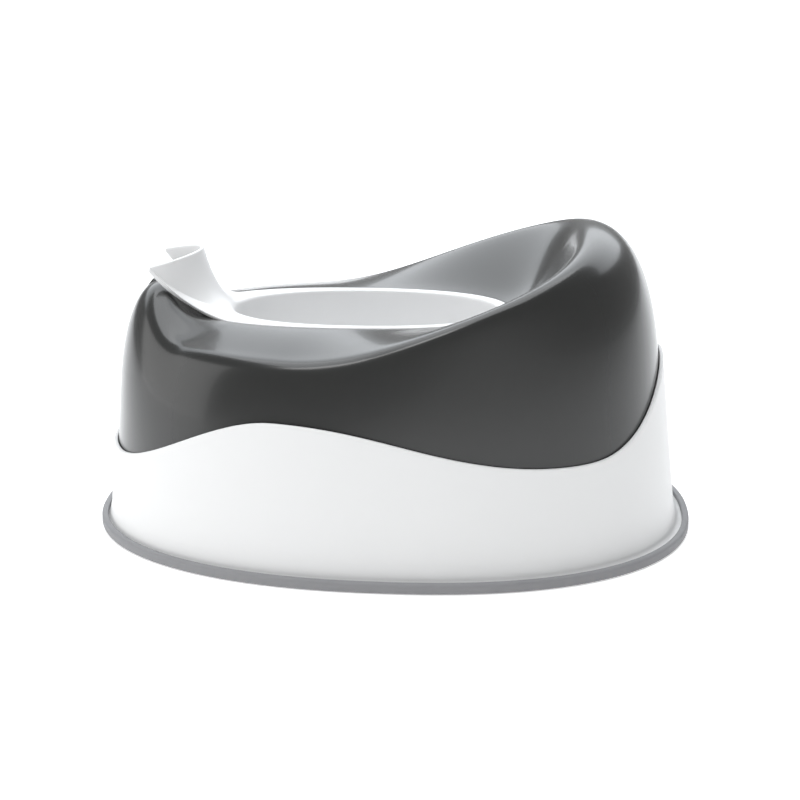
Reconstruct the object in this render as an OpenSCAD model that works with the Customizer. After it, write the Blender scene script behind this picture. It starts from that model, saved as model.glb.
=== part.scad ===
// Potty training chair, millimetres, +Z up.
// Origin: centre of the footprint on the floor. +Y is the backrest, -Y the splash guard.

/* [Overall] */
// Length of the footprint over the floor ring, front to back
overall_length = 380; // [300:1:440]
// Width of the footprint over the floor ring
overall_width = 287; // [230:1:330]
// Height of the backrest crest above the floor
back_height = 190.5; // [160:0.5:230]
// Squareness of the footprint oval, 2 is an ellipse
plan_square = 2.26; // [2:0.02:2.8]
// How much wider the back is than the front, as a share of the width
egg = 0.045; // [0:0.005:0.1]

/* [Floor ring] */
// Width of the soft ring on the floor
ring_width = 4.2; // [3:0.1:7]
// Height of the soft ring
ring_height = 6.5; // [4:0.1:10]
// Rounding of the two outer corners of the soft ring
ring_round = 1.6; // [0.5:0.1:2]

/* [Base skirt] */
// Flange left between the wall and the soft ring
flange_width = 3; // [2:0.1:6]
// Wall thickness of the skirt
skirt_wall = 2.4; // [1.8:0.1:4]
// Inward lean of the skirt per millimetre of height, front
lean_front = 0.075; // [0.02:0.005:0.15]
// Inward lean of the skirt per millimetre of height, back
lean_back = 0.105; // [0.02:0.002:0.18]
// Inward lean of the skirt per millimetre of height, sides
lean_side = 0.09; // [0.02:0.005:0.15]
// Height of the wavy edge at the front
wave_front = 55; // [50:1:70]
// Height of the wavy edge at the side peak
wave_peak = 95; // [70:1:110]
// Height of the wavy edge at the dip behind it
wave_dip = 68; // [55:1:90]
// Height of the wavy edge at the back
wave_back = 113; // [80:1:130]
// Direction in which the edge starts to rise, in degrees from the front
wave_front_turn = 15; // [5:1:30]
// Direction of the side peak
wave_peak_turn = 63; // [50:1:75]
// Direction of the dip
wave_dip_turn = 139; // [120:1:150]
// Height of the inner ledge that carries the seat shell
ledge_height = 44; // [30:1:48]

/* [Seat shell] */
// Wall thickness of the seat shell
shell_wall = 3; // [2:0.1:4]
// Gap between the skirt wall and the seat shell
fit_gap = 0.4; // [0.4:0.1:1.2]
// Height of the seat lip round the bowl
seat_height = 134; // [110:1:150]
// How far the shoulder line runs below the lip at the thighs
thigh_drop = 5; // [0:1:15]
// Rise of the pommel above the lip, in front of the bowl
pommel_rise = 22; // [10:1:35]
// Place of the shoulder line at the front, from the bowl rim 0 to the outer wall 1
crest_front = 0.388; // [0.25:0.001:0.7]
// Place of the shoulder line at the back, from the bowl rim 0 to the outer wall 1
crest_back = 0.543; // [0.3:0.001:0.8]
// Place of the shoulder line at the sides, from the bowl rim 0 to the outer wall 1
crest_side = 0.869; // [0.5:0.001:0.95]
// Direction in which the pommel's top ends, in degrees from the front
pommel_top_turn = 8; // [4:1:15]
// Direction in which the pommel has sunk to the thighs
pommel_turn = 36; // [30:1:45]
// Direction in which the backrest starts to rise
back_turn = 66; // [55:1:85]
// Height over which the shoulder rounds into the wall at the pommel
pommel_shoulder = 72; // [50:1:85]
// Height over which the shoulder rounds into the wall at the sides and back
side_shoulder = 85; // [60:1:95]
// Half width of the finger notch in the pommel
notch_half_width = 13; // [8:0.5:20]
// Depth of the finger notch in the pommel
notch_depth = 7; // [3:0.5:10]

/* [Bowl] */
// Length of the bowl rim over its edge
bowl_length = 198; // [170:1:225]
// Width of the bowl rim over its edge
bowl_width = 108; // [90:1:130]
// Distance from the front end of the footprint to the bowl rim
bowl_setback = 64; // [55:0.5:75]
// Depth of the bowl below its rim
bowl_depth = 96; // [60:1:110]
// Wall thickness of the bowl and guard
bowl_wall = 2.4; // [1.8:0.1:3.5]
// Width of the rim flange at the sides and back
rim_width = 6.5; // [5.5:0.1:10]
// Width of the rim flange in front, at the foot of the guard
guard_root = 24.5; // [15:0.5:35]
// Clearance round the bowl in the hole of the seat
lift_gap = 1.5; // [1:0.1:2]
// Height left between the rim and the seat that carries it
rest_gap = 0.2; // [0.2:0.05:0.4]

/* [Splash guard] */
// Rise of the middle of the guard above the pommel
guard_rise = 18; // [10:1:30]
// Half width of the guard at its top corners
guard_half_width = 30; // [24:1:40]
// How far the guard corners stand in front of the bowl rim
guard_lean = 24; // [10:1:35]
// How far the middle of the guard stands behind its corners
guard_sweep = 29; // [10:1:35]
// How far the corners of the guard stand below its middle
guard_drop = 7; // [0:0.5:15]
// Height left between the edges of the guard and the shoulder line that they cross
guard_clear = 0.72; // [0.5:0.01:3]

/* [Hidden] */
side_facets = 46;
profile_steps = 22;
half_length = overall_length / 2;
half_width = overall_width / 2;
skirt_half_length = half_length - ring_width - flange_width;
skirt_half_width = half_width - ring_width - flange_width;
shell_inset = skirt_wall + fit_gap;
rim_half_length = bowl_length / 2;
rim_half_width = bowl_width / 2;
bowl_shift = half_length - bowl_setback - rim_half_length;
lip_shift = (guard_root - rim_width) / 2;
lip_half_length = rim_half_length - (guard_root + rim_width) / 2;
lip_half_width = rim_half_width - rim_width;
rim_rest = rim_width - bowl_wall - lift_gap;
rim_top = seat_height + rest_gap + bowl_wall;
recess_depth = bowl_wall - 0.3;
rim_square = 2.3;
rim_gap = 0.5;
lip_square = 2.2;
lip_turn = 18;
pommel_roll = 6;
recess_bend = 0.7;
recess_end = 0.14;
scoop_end = 0.45;
ring_tongue = 1.2;
tongue_reach = flange_width + skirt_wall - 0.4;
flange_top = 3.4;
ledge_width = fit_gap + shell_wall + 0.6;
thigh_height = seat_height - thigh_drop;
pommel_height = seat_height + pommel_rise;
guard_height = pommel_height + guard_rise;
guard_reach = rim_half_length + guard_lean;

// ---- curves shared by the pieces ----
function ease(u) = u <= 0 ? 0 : u >= 1 ? 1 : (1 - cos(180 * u)) / 2;
function mix(a, b, u) = a + (b - a) * u;
function radius(t, a, b, n) = pow(pow(abs(cos(t) / b), n) + pow(abs(sin(t) / a), n), -1 / n);
function oval(t, a, b, n, e = 0) =
    let (r = radius(t, a, b, n))
    [r * cos(t) * (1 + e * r * sin(t) / a), r * sin(t)];
// angle away from the front, 0 at the guard, 180 at the backrest
function turn(t) = abs(((t + 90) % 360 + 540) % 360 - 180);

// plan point of the outer wall at height z, moved in by d
function wall(t, z, d) =
    let (a = skirt_half_length - d - z * (lean_front + lean_back) / 2)
    let (b = skirt_half_width - d - z * lean_side)
    let (p = oval(t, a, b, plan_square, egg))
    [p.x, p.y - z * (lean_back - lean_front) / 2 - 1.5];

// wavy top edge of the skirt
function part_way(u, from, to) = ease((u - from) / (to - from));
function wave(t) =
    let (u = turn(t))
    u < wave_peak_turn ? mix(wave_front, wave_peak, part_way(u, wave_front_turn, wave_peak_turn)) :
    u < wave_dip_turn ? mix(wave_peak, wave_dip, part_way(u, wave_peak_turn, wave_dip_turn)) :
    mix(wave_dip, wave_back, pow(part_way(u, wave_dip_turn, 180), 1.3));

// closed band of points: rows of equal length, each row closed on itself
module loft(list, flip = false) {
    rows = flip ? [for (k = [len(list) - 1 : -1 : 0]) list[k]] : list;
    n = len(rows[0]);
    m = len(rows);
    points = [for (row = rows) each row];
    faces = [for (j = [0 : m - 1], i = [0 : n - 1])
        let (a = j * n + i, b = j * n + (i + 1) % n)
        let (c = ((j + 1) % m) * n + i, d = ((j + 1) % m) * n + (i + 1) % n)
        each [[a, d, b], [a, c, d]]];
    polyhedron(points = points, faces = faces);
}

// angles round the body, closer together at the pommel where the notch is
spread = [for (i = [0 : 2 * side_facets - 1])
    let (k = i < side_facets ? i : i - 2 * side_facets)
    -90 + sign(k) * 180 * pow(abs(k) / side_facets, 1.5)];

// ---- floor ring ----
module floor_ring() {
    color([0.42, 0.42, 0.44])
        loft(ring_rows());
}

function foot(t, d) = oval(t, half_length - d, half_width - d, plan_square, egg);

function ring_row(d, z) = [for (t = spread) let (p = foot(t, d)) [p.x, p.y, z]];
function ring_rows() = [
    ring_row(ring_round, 0),
    ring_row(ring_round * 0.3, ring_round * 0.3),
    ring_row(0, ring_round),
    ring_row(0, ring_height - ring_round),
    ring_row(ring_round * 0.3, ring_height - ring_round * 0.3),
    ring_row(ring_round, ring_height),
    ring_row(ring_width, ring_height),
    ring_row(ring_width, ring_tongue),
    ring_row(ring_width + tongue_reach, ring_tongue),
    ring_row(ring_width + tongue_reach, 0)
];

// ---- base skirt ----
module base_skirt() {
    color([0.93, 0.93, 0.93])
        loft(skirt_rows());
}

function skirt_row(d, z) = [for (t = spread) let (p = wall(t, z, d)) [p.x, p.y, z]];
function flange_row(u, z) = [for (t = spread)
    let (a = foot(t, ring_width), b = wall(t, z, 0))
    [mix(a.x, b.x, u), mix(a.y, b.y, u), z]];
function skirt_rise(d, u, drop = 0) = [for (t = spread)
    let (z = mix(14, wave(t) - drop, u))
    let (p = wall(t, z, d))
    [p.x, p.y, z]];

function skirt_rows() = concat(
    [ring_row(ring_width, ring_tongue), ring_row(ring_width, flange_top)],
    [flange_row(0.5, flange_top + 0.2), flange_row(0.82, flange_top + 1.2), flange_row(1, flange_top + 4)],
    [for (k = [0 : 5]) skirt_rise(0, k / 5, 0.6)],
    [skirt_rise(0.6, 1), skirt_rise(skirt_wall - 0.5, 1), skirt_rise(skirt_wall, 1, 0.5)],
    [for (k = [2 : -1 : 1]) [for (t = spread)
        let (z = mix(ledge_height, wave(t) - 0.5, k / 3), p = wall(t, z, skirt_wall)) [p.x, p.y, z]]],
    [skirt_row(skirt_wall, ledge_height), skirt_row(skirt_wall + ledge_width, ledge_height)],
    [skirt_row(skirt_wall + ledge_width, ledge_height - 3), skirt_row(skirt_wall, ledge_height - 9)],
    [skirt_row(skirt_wall, 8), skirt_row(skirt_wall, ring_tongue)]
);

// ---- seat shell ----
function lip_height(t) = mix(pommel_height - pommel_roll, seat_height, part_way(turn(t), 0, lip_turn));
function crest_height(t) =
    let (u = turn(t))
    max(mix(thigh_height, back_height, part_way(u, back_turn, 180)),
        mix(pommel_height, thigh_height, part_way(u, pommel_top_turn, pommel_turn)));
// shoulder line, an oval whose front, back and sides each keep their place before the wall
crest_front_y = mix(-bowl_shift - rim_half_length, wall(-90, pommel_height, shell_inset).y, crest_front);
crest_back_y = mix(rim_half_length - bowl_shift, wall(90, back_height, shell_inset).y, crest_back);
crest_half_width = mix(rim_half_width, wall(0, thigh_height, shell_inset).x, crest_side);
crest_middle_y = 15 - bowl_shift;
crest_square = 2.7;
crest_egg = 0.14;
function crest(t) =
    let (half = sin(t) < 0 ? crest_middle_y - crest_front_y : crest_back_y - crest_middle_y)
    let (p = oval(t, half, crest_half_width, crest_square, crest_egg))
    [p.x, p.y + crest_middle_y];
function shell_drop(t) = mix(pommel_shoulder, side_shoulder, part_way(turn(t), 10, 50));

// recess that the bowl rim drops into: a flat seat, then a leaning side, u from 0 to 1
function recess(t, u) =
    let (v = (u - recess_bend) / (1 - recess_bend))
    let (d = v < 0 ? mix(-rim_rest, rim_gap, u / recess_bend) : mix(rim_gap, rim_gap + 0.7, v))
    let (o = oval(t, rim_half_length + d, rim_half_width + d, rim_square))
    [o.x, o.y - bowl_shift, lip_height(t) + max(0, v) * recess_depth];

// scoop from the lip to the crest, u from 0 to 1
function scoop(t, u) =
    let (lip = recess(t, 1))
    let (c = crest(t), top = [c.x, c.y, crest_height(t)])
    let (rise = top.z - lip.z)
    let (p1 = [mix(lip.x, top.x, 0.45), mix(lip.y, top.y, 0.45), lip.z + rise * 0.08])
    let (p2 = [mix(lip.x, top.x, 0.88), mix(lip.y, top.y, 0.88), top.z])
    let (v = 1 - u)
    lip * v * v * v + p1 * 3 * v * v * u + p2 * 3 * v * u * u + top * u * u * u;

// shoulder from the crest down to the flat lower edge, u from 0 to 1
function shoulder(t, u) =
    let (top = crest_height(t), c = crest(t))
    let (z = top - (top - ledge_height) * pow(u, 2.2))
    let (v = max(0, (z - top + shell_drop(t)) / shell_drop(t)))
    let (n = mix(2.6, 2.8, part_way(turn(t), 90, 180)))
    let (f = pow(1 - pow(v, n), 1 / n))
    let (w = wall(t, z, shell_inset))
    [mix(c.x, w.x, f), mix(c.y, w.y, f), z];

// finger notch, a hollow sunk into the middle of the pommel just before the bowl rim
notch_start = bowl_shift + rim_half_length + 2;
function notch(p) =
    let (side = max(0, 1 - pow(p.x / notch_half_width, 2)))
    let (front = ease((-p.y - notch_start) / 14) * ease((p.z - pommel_height + 28) / 16))
    notch_depth * side * side * front;

// outer skin from the hole to the lower edge, s from 0 to 1
function shell_point(t, s) =
    let (p = s < recess_end ? recess(t, s / recess_end) :
        s < scoop_end ? scoop(t, (s - recess_end) / (scoop_end - recess_end)) :
        shoulder(t, (s - scoop_end) / (1 - scoop_end)))
    let (k = notch(p))
    [p.x, p.y + k * 0.35, p.z - k];

function unit(v) = v / norm(v);
function shell_normal(t, s) =
    let (s0 = max(0, s - 0.01), s1 = min(1, s + 0.01))
    unit(cross(shell_point(t + 1, s) - shell_point(t - 1, s), shell_point(t, s1) - shell_point(t, s0)));

function shell_rows() = concat(
    [for (k = [0 : profile_steps]) [for (t = spread) shell_point(t, k / profile_steps)]],
    [for (k = [profile_steps : -1 : 0]) [for (t = spread)
        let (s = k / profile_steps, q = shell_point(t, s) + shell_wall * shell_normal(t, s))
        k == profile_steps ? [q.x, q.y, ledge_height] : q]]
);

module seat_shell() {
    color([0.33, 0.34, 0.36])
        loft(shell_rows(), true);
}

// ---- bowl with its splash guard ----
corner_turn = 13;
guard_turn = 29;
half_turns = concat(
    [for (k = [0 : 4]) corner_turn * k / 5],
    [for (k = [0 : 4]) mix(corner_turn, guard_turn, k / 5)],
    [for (k = [0 : 26]) mix(guard_turn, 180, k / 26)]);
bowl_turns = concat(
    [for (u = half_turns) -90 + u],
    [for (k = [len(half_turns) - 2 : -1 : 1]) -90 - half_turns[k]]);

guard_foot = oval(-90 + guard_turn, rim_half_length, rim_half_width, rim_square);

corner_rise = guard_height - guard_drop - rim_top;
// bend of the rising edges: a parabola, or steeper at its foot where it has to be
// to take them over the shoulder line of the pommel
crossing = (guard_foot.y - bowl_shift - crest_front_y) / (guard_foot.y + guard_reach);
crossing_rise = pommel_height + guard_clear + bowl_wall - rim_top;
guard_bend = crossing < 1 ? min(2, ln(crossing_rise / corner_rise) / ln(crossing)) : 2;

// outer edge of the rim: oval round the seat, rising edge and top of the guard
function guard_side(v) = [
    guard_half_width + (guard_foot.x - guard_half_width) * pow(1 - v, 4),
    mix(guard_foot.y - bowl_shift, -bowl_shift - guard_reach, v),
    rim_top + corner_rise * pow(v, guard_bend)];
function guard_top(v) =
    let (a = 75 * v, c = guard_side(1), bend = (1 - cos(a)) / (1 - cos(75)))
    [c.x * sin(a) / sin(75), c.y + guard_sweep * (1 - bend), guard_height - guard_drop * bend];
function rim_edge(t) =
    let (u = turn(t), hand = cos(t) < 0 ? -1 : 1)
    let (o = oval(t, rim_half_length, rim_half_width, rim_square))
    let (g = u < corner_turn ? guard_top(u / corner_turn) :
        guard_side((guard_turn - u) / (guard_turn - corner_turn)))
    u < guard_turn ? [hand * g.x, g.y, g.z] : [o.x, o.y - bowl_shift, rim_top];
function rim_lip(t) =
    let (o = oval(t, lip_half_length, lip_half_width, lip_square))
    [o.x, o.y - bowl_shift + lip_shift, rim_top];
function rim_sheet(t, u) =
    let (l = rim_lip(t), e = rim_edge(t), v = 1 - u)
    let (k = [mix(l.x, e.x, 0.7), mix(l.y, e.y, 0.7), mix(l.z, e.z, 0.3)])
    l * v * v + k * 2 * v * u + e * u * u;
function bowl_inside(t, u) =
    let (z = rim_top - bowl_depth * sin(90 * pow(u, 0.8)))
    let (f = 1 - 0.16 * u - 0.34 * pow(u, 6))
    let (l = rim_lip(t))
    [l.x * f, (l.y + bowl_shift - lip_shift) * f - bowl_shift + lip_shift, z];
function bowl_point(t, s) = s < 0 ? bowl_inside(t, -s) : rim_sheet(t, s);
function bowl_normal(t, s) =
    let (s0 = max(-1, s - 0.02), s1 = min(1, s + 0.02))
    unit(cross(bowl_point(t, s1) - bowl_point(t, s0), bowl_point(t + 1, s) - bowl_point(t - 1, s)));
bowl_sections = [-1, -0.97, -0.93, -0.88, -0.8, -0.65, -0.45, -0.25, -0.1, -0.03,
    0.03, 0.15, 0.3, 0.45, 0.6, 0.75, 0.9, 1];
function bowl_row(s, d) = [for (t = bowl_turns)
    bowl_point(t, s) + d * bowl_normal(t, s)];
function bowl_rows() = concat(
    [for (s = bowl_sections) bowl_row(s, 0)],
    [for (k = [len(bowl_sections) - 1 : -1 : 0]) bowl_row(bowl_sections[k], -bowl_wall)]
);
module cup(rows) {
    n = len(rows[0]);
    m = len(rows);
    points = [for (row = rows) each row];
    faces = [for (j = [0 : m - 2], i = [0 : n - 1])
        let (a = j * n + i, b = j * n + (i + 1) % n)
        let (c = (j + 1) * n + i, d = (j + 1) * n + (i + 1) % n)
        each [[a, b, d], [a, d, c]]];
    first = [for (i = [n - 1 : -1 : 0]) i];
    last = [for (i = [0 : n - 1]) (m - 1) * n + i];
    polyhedron(points = points, faces = concat(faces, [first, last]));
}
module bowl() {
    color([0.95, 0.95, 0.96])
        cup(bowl_rows());
}

floor_ring();
base_skirt();
seat_shell();
bowl();
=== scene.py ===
import math

import bpy
import numpy as np
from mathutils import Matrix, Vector


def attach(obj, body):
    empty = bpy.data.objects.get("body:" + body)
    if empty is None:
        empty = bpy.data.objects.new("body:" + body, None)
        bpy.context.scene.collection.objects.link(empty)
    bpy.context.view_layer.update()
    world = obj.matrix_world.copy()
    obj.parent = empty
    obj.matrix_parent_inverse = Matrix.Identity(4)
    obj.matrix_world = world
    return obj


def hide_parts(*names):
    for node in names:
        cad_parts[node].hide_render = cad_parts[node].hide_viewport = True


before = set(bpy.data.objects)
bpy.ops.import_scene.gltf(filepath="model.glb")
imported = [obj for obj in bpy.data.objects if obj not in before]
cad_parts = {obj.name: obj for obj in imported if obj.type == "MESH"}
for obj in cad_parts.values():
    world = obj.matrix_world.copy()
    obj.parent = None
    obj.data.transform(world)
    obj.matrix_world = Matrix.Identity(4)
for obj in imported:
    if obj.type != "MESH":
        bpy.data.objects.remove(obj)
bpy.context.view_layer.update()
MM = 0.001

# ---------------------------------------------------------------------------
# Floor ring. A soft grey elastomer band moulded round the skirt's foot flange.
# It stands a few millimetres proud of the flange and keeps the chair from sliding.
# ---------------------------------------------------------------------------
foot_half = (190.0, 143.5)
foot_square = 2.26
foot_egg = 0.045
ring_width = 4.2
ring_height = 6.5
ring_tongue = 1.2
tongue_reach = 5.0
ring_round = 1.7
ring_inner_round = 0.9


def mix(a, b, u):
    return a + (b - a) * u


def ease(u):
    return (1 - np.cos(np.pi * np.clip(u, 0, 1))) / 2


def oval(turn, half_length, half_width, square, egg=0.0):
    """Plan points of a squared oval. turn is the angle from the front, positive to +X."""
    c, s = np.sin(turn), -np.cos(turn)
    r = (np.abs(c / half_width) ** square + np.abs(s / half_length) ** square) ** (-1 / square)
    return r * c * (1 + egg * r * s / half_length), r * s


def foot(turn, inset):
    return oval(turn, foot_half[0] - inset, foot_half[1] - inset, foot_square, foot_egg)


def rows_mesh(name, rows, closed=True, cap=False):
    """A smooth quad mesh from rows of points that each run once round the body, in millimetres."""
    grid = np.asarray(rows, float)
    count, width = grid.shape[:2]
    a = np.arange(count if closed else count - 1)[:, None] * width + np.arange(width)[None, :]
    b = a - np.arange(width)[None, :] + (np.arange(width)[None, :] + 1) % width
    total = count * width
    quads = np.stack([a, (a + width) % total, (b + width) % total, b], -1).reshape(-1, 4).tolist()
    if cap:
        quads.append(list(range(width)))
        quads.append(list(range((count - 1) * width, count * width))[::-1])
    mesh = bpy.data.meshes.new(name)
    mesh.from_pydata((grid.reshape(-1, 3) * MM).tolist(), [], quads)
    mesh.validate()
    mesh.shade_smooth()
    piece = bpy.data.objects.new(name, mesh)
    bpy.context.collection.objects.link(piece)
    return piece


def lay(xy, z):
    """Plan points set at height z, which is one number or one for each point."""
    x, y = xy
    return np.stack([x, y, np.broadcast_to(z, x.shape)], -1)


class Wire:
    """A node socket that adds its own Math nodes when it is used in an expression."""

    def __init__(self, maker, socket):
        self.maker, self.socket = maker, socket

    def maths(self, operation, other, swap=False):
        pair = (other, self) if swap else (self, other)
        return self.maker.node("ShaderNodeMath", {"operation": operation}, {0: pair[0], 1: pair[1]})

    def __add__(self, other):
        return self.maths("ADD", other)

    __radd__ = __add__

    def __mul__(self, other):
        return self.maths("MULTIPLY", other)

    __rmul__ = __mul__

    def __sub__(self, other):
        return self.maths("SUBTRACT", other)

    def __rsub__(self, other):
        return self.maths("SUBTRACT", other, swap=True)


class Finish:
    """One material: a Principled shader and the nodes that feed it."""

    def __init__(self, name, **fixed):
        self.material = bpy.data.materials.new(name)
        self.material.use_nodes = True
        self.tree = self.material.node_tree
        self.shader = self.tree.nodes["Principled BSDF"]
        for key, value in fixed.items():
            self.shader.inputs[key.replace("_", " ")].default_value = value

    def node(self, kind, settings=None, sockets=None, out=0):
        made = self.tree.nodes.new(kind)
        for key, value in (settings or {}).items():
            setattr(made, key, value)
        for key, value in (sockets or {}).items():
            if isinstance(value, Wire):
                self.tree.links.new(value.socket, made.inputs[key])
            else:
                made.inputs[key].default_value = value
        return Wire(self, made.outputs[out])

    def feed(self, key, wire):
        self.tree.links.new(wire.socket, self.shader.inputs[key])

    def noise(self, scale, detail=3.0, rough=0.5):
        place = self.node("ShaderNodeTexCoord", out=3)
        sockets = {"Vector": place, "Scale": scale, "Detail": detail, "Roughness": rough}
        return self.node("ShaderNodeTexNoise", None, sockets)

    def tint(self, factor, dark, light):
        sockets = {0: factor, 6: (*dark, 1), 7: (*light, 1)}
        return self.node("ShaderNodeMix", {"data_type": "RGBA"}, sockets, out=2)

    def bump(self, height, strength, distance):
        sockets = {"Height": height, "Strength": strength, "Distance": distance}
        return self.node("ShaderNodeBump", None, sockets)


ring_turns = np.linspace(0, 2 * np.pi, 480, endpoint=False)
outline = []
for step in range(9):
    a = np.radians(90 * step / 8)
    outline.append((ring_round * (1 - math.sin(a)), ring_round * (1 - math.cos(a))))
for step in range(9):
    a = np.radians(90 * step / 8)
    outline.append((ring_round * (1 - math.cos(a)), ring_height - ring_round * (1 - math.sin(a))))
for step in range(5):
    a = np.radians(90 * step / 4)
    inset = ring_width - ring_inner_round * (1 - math.sin(a))
    outline.append((inset, ring_height - ring_inner_round * (1 - math.cos(a))))
outline += [(ring_width, z) for z in (ring_height * 0.6, ring_tongue + 0.1, ring_tongue)]
tongue_end = ring_width + tongue_reach
outline += [(tongue_end, ring_tongue), (tongue_end, 0.0), (ring_width, 0.0)]
ring = rows_mesh("soft_floor_ring", [lay(foot(ring_turns, d), z) for d, z in outline])

soft_grey = Finish("soft_grey_elastomer", Roughness=0.62)
mottle = soft_grey.noise(42.0, 4.0)
soft_grey.feed("Base Color", soft_grey.tint(mottle, (0.235, 0.235, 0.243), (0.262, 0.262, 0.270)))
soft_grey.feed("Roughness", 0.52 + 0.18 * soft_grey.noise(160.0))
soft_grey.feed("Normal", soft_grey.bump(soft_grey.noise(2400.0, 2.0), 0.18, 0.0002))
ring.data.materials.append(soft_grey.material)
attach(ring, "base")
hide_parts("floor_ring")

# ---------------------------------------------------------------------------
# Base skirt. The white satin wall that carries the seat, injection moulded in
# one piece with its foot flange. Its top edge is cut in a wave and stands just
# outside the seat shell, which rests on a ledge inside it.
# ---------------------------------------------------------------------------
skirt_half = (182.8, 136.3)
skirt_wall = 2.4
lean_front, lean_back, lean_side = 0.075, 0.105, 0.09
wave_front, wave_peak, wave_dip, wave_back = 55.0, 95.0, 68.0, 113.0
wave_front_turn, wave_peak_turn, wave_dip_turn = 15, 63, 139
wall_shift = 1.5
ledge_height, ledge_width, ledge_thickness = 44.0, 4.0, 3.0
flange_top = 3.4
top_round, inner_top_round = 0.9, 0.7


def wall(turn, z, inset):
    """Plan points of the leaning outer wall at height z."""
    t = np.mod(turn, 2 * np.pi)
    half_length = skirt_half[0] - inset - z * (lean_front + lean_back) / 2
    half_width = skirt_half[1] - inset - z * lean_side
    x, y = oval(t, half_length, half_width, foot_square, foot_egg)
    return x, y - z * (lean_back - lean_front) / 2 - wall_shift


def away(turn):
    """Degrees away from the front, 0 at the guard and 180 at the backrest."""
    t = np.degrees(np.mod(turn, 2 * np.pi))
    return np.minimum(t, 360 - t)


def part_way(u, start, end):
    return ease((u - start) / (end - start))


def wave(turn):
    """Height of the skirt's top edge: it rises to a peak, dips at the side and rises again."""
    u = away(turn)
    front = mix(wave_front, wave_peak, part_way(u, wave_front_turn, wave_peak_turn))
    side = mix(wave_peak, wave_dip, part_way(u, wave_peak_turn, wave_dip_turn))
    back = mix(wave_dip, wave_back, part_way(u, wave_dip_turn, 180) ** 1.3)
    return np.where(u < wave_peak_turn, front, np.where(u < wave_dip_turn, side, back))


turns = np.linspace(0, 2 * np.pi, 540, endpoint=False)
top = wave(turns)
rows = [lay(foot(turns, ring_width), z) for z in (ring_tongue, flange_top)]
for step in range(13):
    u = step / 12
    a, b = foot(turns, ring_width), wall(turns, 0, 0)
    z = flange_top + 0.2 + 6.0 * (1 - math.sqrt(1 - (0.02 + 0.96 * u) ** 2))
    rows.append(lay((mix(a[0], b[0], u), mix(a[1], b[1], u)), z))
for step in range(1, 41):
    z = mix(12.0, top - top_round, step / 40)
    rows.append(lay(wall(turns, z, 0), z))
for step in range(1, 9):
    a = math.radians(90 * step / 8)
    z = top - top_round * (1 - math.sin(a))
    rows.append(lay(wall(turns, z, top_round * (1 - math.cos(a))), z))
for step in range(1, 7):
    a = math.radians(90 * step / 6)
    z = top - inner_top_round * (1 - math.cos(a))
    rows.append(lay(wall(turns, z, skirt_wall - inner_top_round * (1 - math.sin(a))), z))
for step in range(1, 9):
    z = mix(top - inner_top_round, ledge_height, step / 8)
    rows.append(lay(wall(turns, z, skirt_wall), z))
ledge_edge = skirt_wall + ledge_width
for inset, z in (
    (ledge_edge, ledge_height),
    (ledge_edge, ledge_height - ledge_thickness),
    (skirt_wall, ledge_height - 3 * ledge_thickness),
    (skirt_wall, 8.0),
    (skirt_wall, ring_tongue),
):
    rows.append(lay(wall(turns, z, inset), z))
skirt = rows_mesh("white_base_skirt", rows)

skirt_white = Finish("satin_white_plastic", Roughness=0.42)
cloud = skirt_white.noise(9.0, 3.0)
skirt_white.feed("Base Color", skirt_white.tint(cloud, (0.775, 0.775, 0.770), (0.800, 0.800, 0.796)))
skirt_white.feed("Roughness", 0.38 + 0.10 * skirt_white.noise(60.0, 4.0))
skirt_white.feed("Normal", skirt_white.bump(skirt_white.noise(3200.0, 2.0), 0.05, 0.0001))
skirt.data.materials.append(skirt_white.material)
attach(skirt, "base")
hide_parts("base_skirt")

# ---------------------------------------------------------------------------
# Seat shell. The glossy dark grey seat, one moulding: a dished scoop round the
# bowl, a broad shoulder, a high backrest and a pommel with a finger notch.
# It drops inside the skirt and stands on the skirt's ledge.
# ---------------------------------------------------------------------------
shell_wall = 3.0
shell_inset = 2.8
seat_height = 134.0
thigh_height = 129.0
pommel_height = 156.0
back_height = 190.5
crest_half = (131.0, 113.0)
crest_middle = -12.0
crest_square, crest_egg = 2.7, 0.14
back_turn = 66
pommel_top_turn, pommel_turn = 8, 36
pommel_shoulder, side_shoulder = 72, 85
rim_half = (99.0, 54.0)
rim_square = 2.3
bowl_shift = 27.0
recess_depth, recess_bend, recess_flare = 2.1, 0.7, 0.7
rim_rest, rim_gap = 2.6, 0.5
pommel_roll, lip_turn = 6, 18
notch_half_width, notch_depth = 13.0, 7.0
notch_start, notch_foot = 128, 128


def lip_height(turn):
    return mix(pommel_height - pommel_roll, seat_height, part_way(away(turn), 0, lip_turn))


def crest_height(turn):
    u = away(turn)
    back = mix(thigh_height, back_height, part_way(u, back_turn, 180))
    front = mix(pommel_height, thigh_height, part_way(u, pommel_top_turn, pommel_turn))
    return np.maximum(back, front)


def crest(turn):
    x, y = oval(turn, crest_half[0], crest_half[1], crest_square, crest_egg)
    return x, y + crest_middle


def recess(turn, u):
    """Recess that the bowl's rim drops into: a flat seat, then a leaning side, u from 0 to 1."""
    rise = max(0.0, (u - recess_bend) / (1 - recess_bend))
    d = mix(-rim_rest, rim_gap, min(1.0, u / recess_bend)) + recess_flare * rise
    x, y = oval(turn, rim_half[0] + d, rim_half[1] + d, rim_square)
    return lay((x, y - bowl_shift), lip_height(turn) + recess_depth * rise)


def scoop(turn, u):
    """Dish from the lip to the shoulder line, flat at the lip and level where it meets the line."""
    lip = recess(turn, 1)
    ridge = lay(crest(turn), crest_height(turn))
    low = mix(lip, ridge, np.array([0.45, 0.45, 0.08]))
    high = mix(lip, ridge, np.array([0.88, 0.88, 1.0]))
    v = 1 - u
    return lip * v**3 + low * 3 * v * v * u + high * 3 * v * u * u + ridge * u**3


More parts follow.
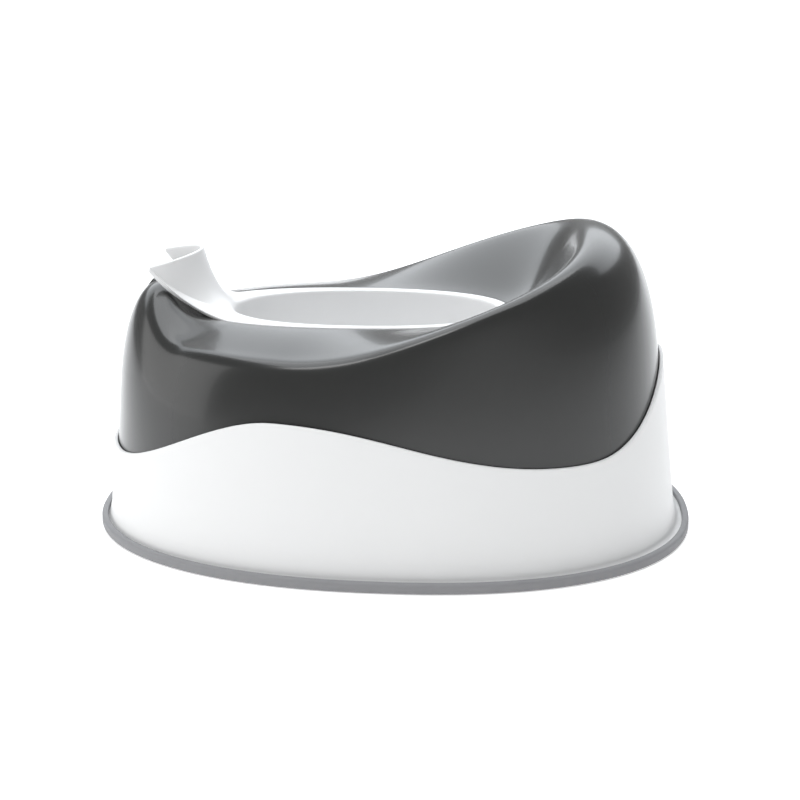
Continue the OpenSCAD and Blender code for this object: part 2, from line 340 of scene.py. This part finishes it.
def shoulder(turn, u):
    """Rounded outer side, from the shoulder line down to the ledge inside the skirt."""
    ridge, c = crest_height(turn), crest(turn)
    drop = mix(pommel_shoulder, side_shoulder, part_way(away(turn), 10, 50))
    z = ridge - (ridge - ledge_height) * u**2.2
    v = np.maximum(0, (z - ridge + drop) / drop)
    n = mix(2.6, 2.8, part_way(away(turn), 90, 180))
    f = (1 - v**n) ** (1 / n)
    w = wall(turn, z, shell_inset)
    return lay((mix(c[0], w[0], f), mix(c[1], w[1], f)), z)


def even_rows(rows, width, count):
    """Evens each section curve out with a soft window, with its two ends kept, as count rows."""
    grid = np.asarray(rows, float)
    steps = np.linalg.norm(np.diff(grid, axis=0), axis=2)
    length = np.concatenate([np.zeros((1, grid.shape[1])), np.cumsum(steps, axis=0)])
    fine = 4 * (count - 1) + 1
    sigma = width / length[-1].mean() * fine
    reach = int(4 * sigma)
    window = np.exp(-0.5 * (np.arange(-reach, reach + 1) / sigma) ** 2)
    window /= window.sum()
    out = np.empty((fine, grid.shape[1], 3))
    for i in range(grid.shape[1]):
        places = np.linspace(0, length[-1, i], fine)
        for k in range(3):
            line = np.interp(places, length[:, i], grid[:, i, k])
            before = 2 * line[0] - line[reach:0:-1]
            after = 2 * line[-1] - line[-2 : -reach - 2 : -1]
            out[:, i, k] = np.convolve(np.concatenate([before, line, after]), window, "valid")
    return out[::4]


def notch(grid):
    """Presses the finger notch into the top of the pommel."""
    x, y, z = grid[..., 0], grid[..., 1], grid[..., 2]
    side = np.maximum(0, 1 - (x / notch_half_width) ** 2)
    front = ease((-y - notch_start) / 14) * ease((z - notch_foot) / 16)
    k = notch_depth * side**2 * front
    return np.stack([x, y + 0.35 * k, z - k], -1)


def grid_normals(grid):
    along = np.gradient(grid, axis=0)
    around = (np.roll(grid, -1, axis=1) - np.roll(grid, 1, axis=1)) / 2
    n = np.cross(along, around)
    return n / np.maximum(np.linalg.norm(n, axis=2, keepdims=True), 1e-9)


seat_turns = np.linspace(0, 2 * np.pi, 720, endpoint=False)
skin = [scoop(seat_turns, k / 60) for k in range(60)] + [shoulder(seat_turns, k / 90) for k in range(91)]
skin = even_rows(skin, 4.0, 200)
rim_rows = [recess(seat_turns, recess_bend * k / 5) for k in range(6)]
rim_rows += [recess(seat_turns, mix(recess_bend, 1, k / 4)) for k in range(1, 4)]
skin = notch(np.concatenate([rim_rows, skin]))
inner = skin + shell_wall * -grid_normals(skin)
inner[-1, :, 2] = ledge_height
seat = rows_mesh("grey_seat_shell", np.concatenate([skin, inner[::-1]])[::-1])

seat_grey = Finish("gloss_grey_plastic", Roughness=0.2, Coat_Roughness=0.08)
seat_grey.shader.inputs["Coat Weight"].default_value = 0.25
cloud = seat_grey.noise(14.0, 4.0)
seat_grey.feed("Base Color", seat_grey.tint(cloud, (0.021, 0.0215, 0.0210), (0.025, 0.0255, 0.0245)))
seat_grey.feed("Roughness", 0.21 + 0.06 * seat_grey.noise(45.0, 4.0))
seat_grey.feed("Normal", seat_grey.bump(seat_grey.noise(2600.0, 2.0), 0.03, 0.0001))
seat.data.materials.append(seat_grey.material)
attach(seat, "base")
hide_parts("seat_shell")

# ---------------------------------------------------------------------------
# Bowl. The loose white inner pot, one moulding with a flat rim that drops into
# the seat's recess. In front the rim sweeps up and forward into the splash
# guard, whose open edges are what the fingers take to lift the bowl out.
# ---------------------------------------------------------------------------
bowl_wall = 2.4
bowl_depth = 96.0
rim_width = 6.5
rim_top = 136.6
lip_shift = 9.0
guard_height, guard_half_width, guard_reach = 174.0, 30.0, 123.0
guard_sweep, guard_drop = 29.0, 7.0
corner_turn, guard_turn = 13.0, 29.0
guard_arc = math.radians(75)
foot_x, foot_y = oval(np.radians(np.array([guard_turn])), rim_half[0], rim_half[1], rim_square)


def guard_side(v):
    """One edge of the guard, from the rim at v = 0 to its top corner at v = 1."""
    return np.stack([
        guard_half_width + (foot_x - guard_half_width) * (1 - v) ** 4,
        mix(foot_y - bowl_shift, -bowl_shift - guard_reach, v),
        rim_top + (guard_height - guard_drop - rim_top) * v**2,
    ], -1)


def guard_top(v):
    """Top edge of the guard, an arc from its middle at v = 0 to a corner at v = 1."""
    a = guard_arc * v
    bend = (1 - np.cos(a)) / (1 - math.cos(guard_arc))
    end = guard_side(np.array([1.0]))[0]
    return np.stack([
        end[0] * np.sin(a) / math.sin(guard_arc),
        end[1] + guard_sweep * (1 - bend),
        guard_height - guard_drop * bend,
    ], -1)


def rim_edge(turn):
    u, hand = away(turn), np.where(np.mod(turn, 2 * np.pi) > np.pi, -1.0, 1.0)
    x, y = oval(turn, rim_half[0], rim_half[1], rim_square)
    plain = lay((x, y - bowl_shift), rim_top)
    side = guard_side(np.clip((guard_turn - u) / (guard_turn - corner_turn), 0, 1))
    crown = guard_top(np.clip(u / corner_turn, 0, 1))
    for part in (side, crown):
        part[:, 0] *= hand
    below_crown = np.where((u < guard_turn)[:, None], side, plain)
    return np.where((u < corner_turn)[:, None], crown, below_crown)


def rim_lip(turn):
    x, y = oval(turn, rim_half[0] - lip_shift - rim_width, rim_half[1] - rim_width, 2.2)
    return lay((x, y - bowl_shift + lip_shift), rim_top)


def rim_sheet(turn, u):
    """Upper face of the rim flange and the guard, from the lip to the outer edge."""
    lip, edge, v = rim_lip(turn), rim_edge(turn), 1 - u
    bend = mix(lip, edge, np.array([0.7, 0.7, 0.3]))
    return lip * v * v + bend * 2 * v * u + edge * u * u


def bowl_inside(turn, u):
    """Inside of the pot, from the lip at u = 0 to its flat bottom at u = 1."""
    f = 1 - 0.16 * u - 0.34 * u**6
    lip = rim_lip(turn)
    y = (lip[:, 1] + bowl_shift - lip_shift) * f - bowl_shift + lip_shift
    return lay((lip[:, 0] * f, y), rim_top - bowl_depth * math.sin(math.pi / 2 * u**0.8))


def fine(a, b, n):
    return np.linspace(np.radians(a), np.radians(b), n, endpoint=False)


stretches = ((0, corner_turn, 60), (corner_turn, guard_turn, 70), (guard_turn, 180, 240))
side_turns = np.concatenate([fine(*stretch) for stretch in stretches])
bowl_turns = np.concatenate([side_turns, [np.pi], 2 * np.pi - side_turns[:0:-1]])
middle = np.array([0.0, lip_shift - bowl_shift, rim_top - bowl_depth])
bottom = bowl_inside(bowl_turns, 1)
inside = [middle + (bottom - middle) * k / 24 for k in range(1, 24)]
inside += [bowl_inside(bowl_turns, 1 - k / 80) for k in range(80)]
sheet = [rim_sheet(bowl_turns, 0.985 * k / 60) for k in range(61)]
face = even_rows(inside + sheet, 1.6, 240)
face[0, :, 2] = rim_top - bowl_depth
out = -grid_normals(face)
under = face + bowl_wall * out
edge_way = face[-1] - face[-2]
edge_way /= np.linalg.norm(edge_way, axis=1, keepdims=True)
round_edge = []
for step in range(1, 12):
    a = math.pi * step / 12
    mid = (face[-1] + under[-1]) / 2
    round_edge.append(mid + bowl_wall / 2 * (edge_way * math.sin(a) - out[-1] * math.cos(a)))
bowl_rows = np.concatenate([face, round_edge, under[::-1]])[::-1]
bowl = rows_mesh("white_lift_out_bowl", bowl_rows, closed=False, cap=True)

bowl_white = Finish("smooth_white_plastic", Roughness=0.3)
cloud = bowl_white.noise(11.0, 3.0)
bowl_white.feed("Base Color", bowl_white.tint(cloud, (0.80, 0.80, 0.80), (0.825, 0.825, 0.825)))
bowl_white.feed("Roughness", 0.26 + 0.08 * bowl_white.noise(70.0, 4.0))
bowl_white.feed("Normal", bowl_white.bump(bowl_white.noise(2800.0, 2.0), 0.03, 0.0001))
bowl.data.materials.append(bowl_white.material)
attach(bowl, "bowl")
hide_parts("bowl")

# ---------------------------------------------------------------------------
# Studio. A plain white floor, large soft lights and a long-lens camera at the
# chair's side, looking down on it.
# ---------------------------------------------------------------------------
floor_reach, floor_height = 12.0, -0.0002
corners = [
    (x * floor_reach, y * floor_reach, floor_height) for x, y in ((-1, -1), (1, -1), (1, 1), (-1, 1))
]
floor_mesh = bpy.data.meshes.new("studio_floor")
floor_mesh.from_pydata(corners, [], [(0, 1, 2, 3)])
floor = bpy.data.objects.new("studio_floor", floor_mesh)
bpy.context.collection.objects.link(floor)
paper = Finish("studio_paper", Roughness=0.9)
paper.shader.inputs["Emission Color"].default_value = (1, 1, 1, 1)
paper.shader.inputs["Emission Strength"].default_value = 0.4
paper.feed("Base Color", paper.tint(paper.noise(1.5), (0.90, 0.90, 0.90), (0.92, 0.92, 0.92)))
floor.data.materials.append(paper.material)

world = bpy.data.worlds.new("studio_air")
world.use_nodes = True
world.node_tree.nodes["Background"].inputs["Color"].default_value = (1, 1, 1, 1)
world.node_tree.nodes["Background"].inputs["Strength"].default_value = 0.27
bpy.context.scene.world = world


def soft_light(name, place, target, size, glow, tone=(1.0, 1.0, 1.0)):
    """A rectangular softbox. glow is the brightness of its face, whatever its size."""
    lamp = bpy.data.lights.new(name, "AREA")
    lamp.shape, lamp.size, lamp.size_y = "RECTANGLE", size[0], size[1]
    lamp.energy = math.pi * size[0] * size[1] * glow
    lamp.color = tone
    holder = bpy.data.objects.new(name, lamp)
    holder.location = place
    holder.rotation_euler = (Vector(target) - Vector(place)).to_track_quat("-Z", "Y").to_euler()
    bpy.context.collection.objects.link(holder)


soft_light("top_softbox", (0.05, -0.1, 1.5), (0.05, -0.1, 0), (1.7, 1.4), 3.0, (0.95, 0.975, 1.0))
soft_light("far_softbox", (-4.0, 0.0, 1.8), (-4.0, 0, 0), (6.0, 6.0), 1.9, (0.92, 0.96, 1.0))
soft_light("front_softbox", (0.3, -2.0, 0.6), (0, -0.1, 0.1), (1.6, 1.2), 1.5)
soft_light("key_softbox", (0.9, -0.5, 1.3), (0, 0, 0.1), (0.55, 0.3), 6.0)

camera = bpy.data.cameras.new("side_camera")
camera.sensor_width = 36.0
camera.lens = 81.7
holder = bpy.data.objects.new("side_camera", camera)
holder.location = (1.1194, 0.0630, 0.4069)
aim = Vector((0, 0.0033, 0.0753))
holder.rotation_euler = (aim - holder.location).to_track_quat("-Z", "Y").to_euler()
bpy.context.collection.objects.link(holder)
bpy.context.scene.camera = holder
bpy.context.scene.view_settings.view_transform = "Standard"
